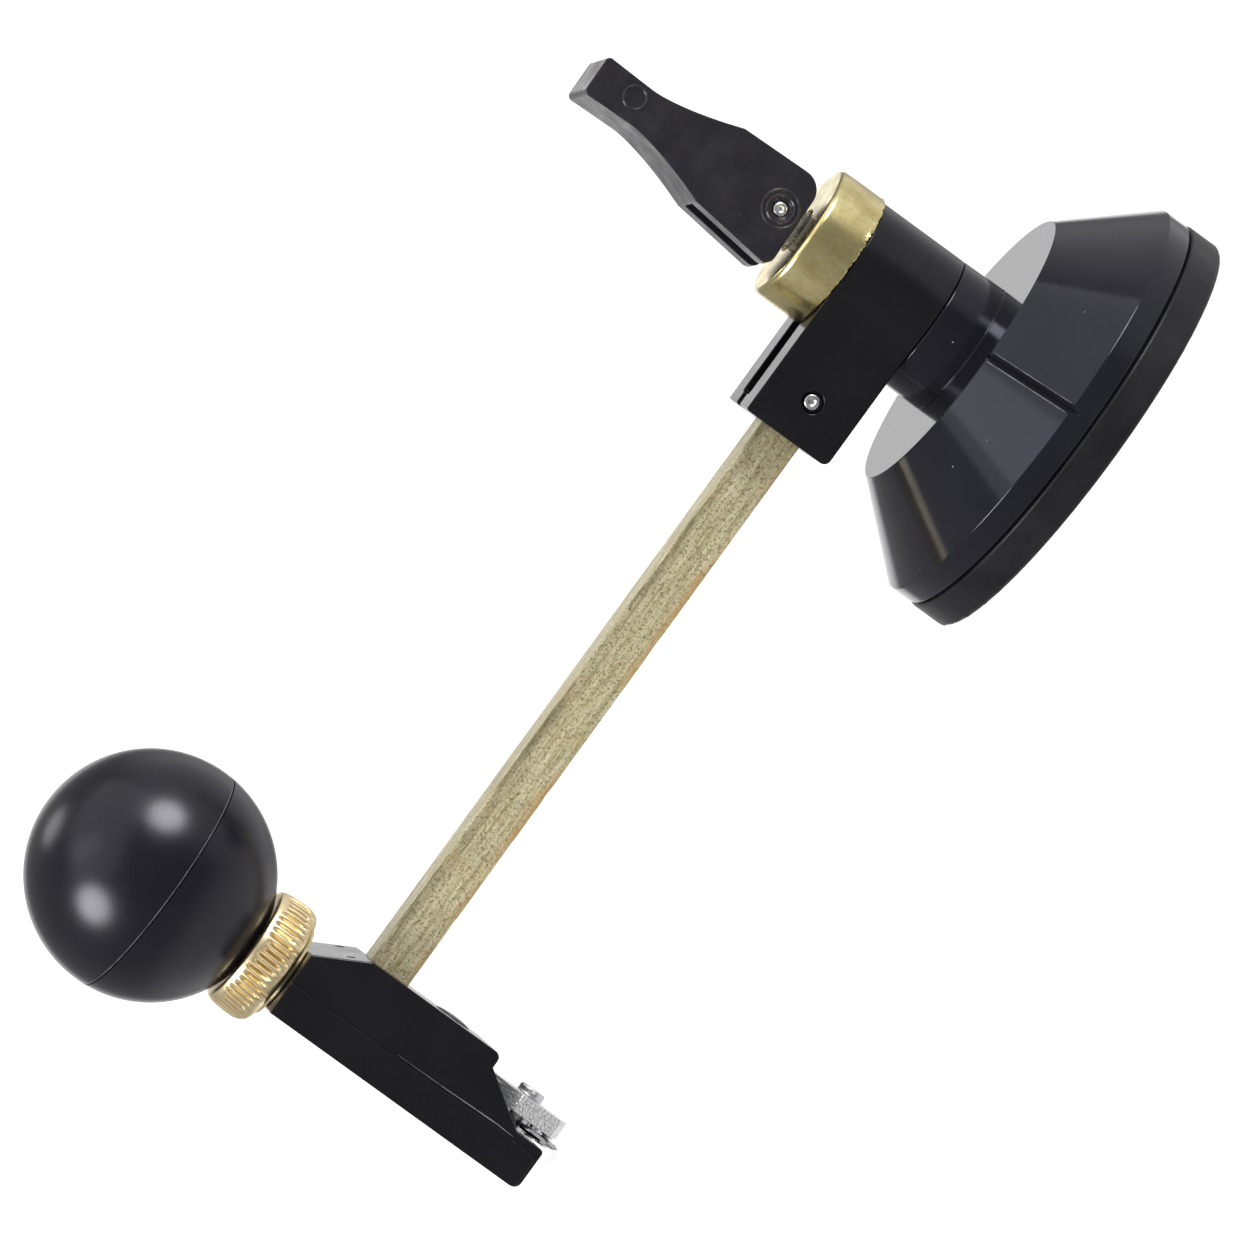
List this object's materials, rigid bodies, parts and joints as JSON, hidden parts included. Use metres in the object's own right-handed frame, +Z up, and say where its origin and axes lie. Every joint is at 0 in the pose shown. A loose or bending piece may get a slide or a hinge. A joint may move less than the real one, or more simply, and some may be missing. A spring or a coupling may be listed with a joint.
{
  "type": "circle glass cutter",
  "caption": "Compass-style glass cutter: suction base with a locking lever, swivelling arm with a square brass rod, sliding head with ball handle and wheel turret.",
  "frame": {"origin": "centre of the suction disc's underside, on the swivel axis", "axes": "+Z up along the swivel axis; the rod and the cutter head lie along -X; +Y is across the rod"},
  "size_m": [0.149, 0.0554, 0.074],
  "materials": {
    "rubber": "matte moulded rubber",
    "housing_plastic": "polished moulded plastic",
    "block_plastic": "satin moulded plastic",
    "lever_plastic": "satin moulded plastic",
    "head_plastic": "satin moulded plastic",
    "ball_plastic": "polished",
    "collar_brass": "turned, slightly dulled",
    "rod_brass": "drawn, dull and lightly tarnished",
    "nut_brass": "bright, knurled",
    "steel": "bright zinc plated",
    "cast_metal": "grainy die casting",
    "wheel_steel": "ground"
  },
  "bodies": {
    "base": {"suction_disc": "rubber", "cup_housing": "housing_plastic", "brass_collar": "collar_brass"},
    "stem": {"foot_plate": "steel", "pull_stud": "steel", "lever_pin": "steel"},
    "lever": {"lever": "lever_plastic"},
    "swivel": {"pivot_block": "block_plastic", "rod": "rod_brass", "rod_pin": "steel"},
    "head": {"head_body": "head_plastic", "thread_insert": "nut_brass", "turret_screw": "steel", "turret_spacer": "steel"},
    "clamp": {"clamp_pad": "nut_brass"},
    "knob": {"knob_stud": "steel", "ball_knob": "ball_plastic"},
    "lock_nut": {"lock_nut": "nut_brass"},
    "turret": {"turret": "cast_metal", "wheel_axles": "steel"},
    "wheel_1": {"wheel_1": "wheel_steel"},
    "wheel_2": {"wheel_2": "wheel_steel"},
    "wheel_3": {"wheel_3": "wheel_steel"},
    "wheel_4": {"wheel_4": "wheel_steel"},
    "wheel_5": {"wheel_5": "wheel_steel"},
    "wheel_6": {"wheel_6": "wheel_steel"}
  },
  "joints": [
    {"name": "stud_lift", "type": "slide", "parent": "base", "child": "stem", "axis": [0, 0, 1], "range_m": [0, 0.00242], "deforming": ["suction_disc"]},
    {"name": "lever_fold", "type": "hinge", "parent": "stem", "child": "lever", "pos_m": [0, 0, 0.0456], "axis": [-0.1736, 0.9848, 0], "range_deg": [0, 90]},
    {"name": "arm_swivel", "type": "hinge", "parent": "base", "child": "swivel", "pos_m": [0, 0, 0.0295], "axis": [0, 0, 1], "continuous": true},
    {"name": "head_slide", "type": "slide", "parent": "swivel", "child": "head", "axis": [1, 0, 0], "range_m": [0, 0.062]},
    {"name": "clamp_rise", "type": "slide", "parent": "head", "child": "clamp", "axis": [0, 0, 1], "range_m": [0, 0.00081]},
    {"name": "knob_turn", "type": "hinge", "parent": "clamp", "child": "knob", "pos_m": [-0.1063, 0, 0.059], "axis": [0, 0, 1], "range_deg": [0, 360]},
    {"name": "nut_turn", "type": "hinge", "parent": "head", "child": "lock_nut", "pos_m": [-0.1063, 0, 0.042], "axis": [0, 0, 1], "range_deg": [0, 180]},
    {"name": "turret_index", "type": "hinge", "parent": "head", "child": "turret", "pos_m": [-0.1037, 0, 0.0069], "axis": [1, 0, 0], "continuous": true},
    {"name": "wheel_1_roll", "type": "hinge", "parent": "turret", "child": "wheel_1", "pos_m": [-0.10455, 0, 0.0024], "axis": [1, 0, 0], "continuous": true},
    {"name": "wheel_2_roll", "type": "hinge", "parent": "turret", "child": "wheel_2", "pos_m": [-0.10455, 0.0039, 0.00465], "axis": [1, 0, 0], "continuous": true},
    {"name": "wheel_3_roll", "type": "hinge", "parent": "turret", "child": "wheel_3", "pos_m": [-0.10455, 0.0039, 0.00915], "axis": [1, 0, 0], "continuous": true},
    {"name": "wheel_4_roll", "type": "hinge", "parent": "turret", "child": "wheel_4", "pos_m": [-0.10455, 0, 0.0114], "axis": [1, 0, 0], "continuous": true},
    {"name": "wheel_5_roll", "type": "hinge", "parent": "turret", "child": "wheel_5", "pos_m": [-0.10455, -0.0039, 0.00915], "axis": [1, 0, 0], "continuous": true},
    {"name": "wheel_6_roll", "type": "hinge", "parent": "turret", "child": "wheel_6", "pos_m": [-0.10455, -0.0039, 0.00465], "axis": [1, 0, 0], "continuous": true}
  ],
  "couplings": [
    {"joint": "stud_lift", "follows": "lever_fold", "m_per_rad": 0.0015279},
    {"joint": "clamp_rise", "follows": "knob_turn", "m_per_rad": 0.00012732}
  ]
}
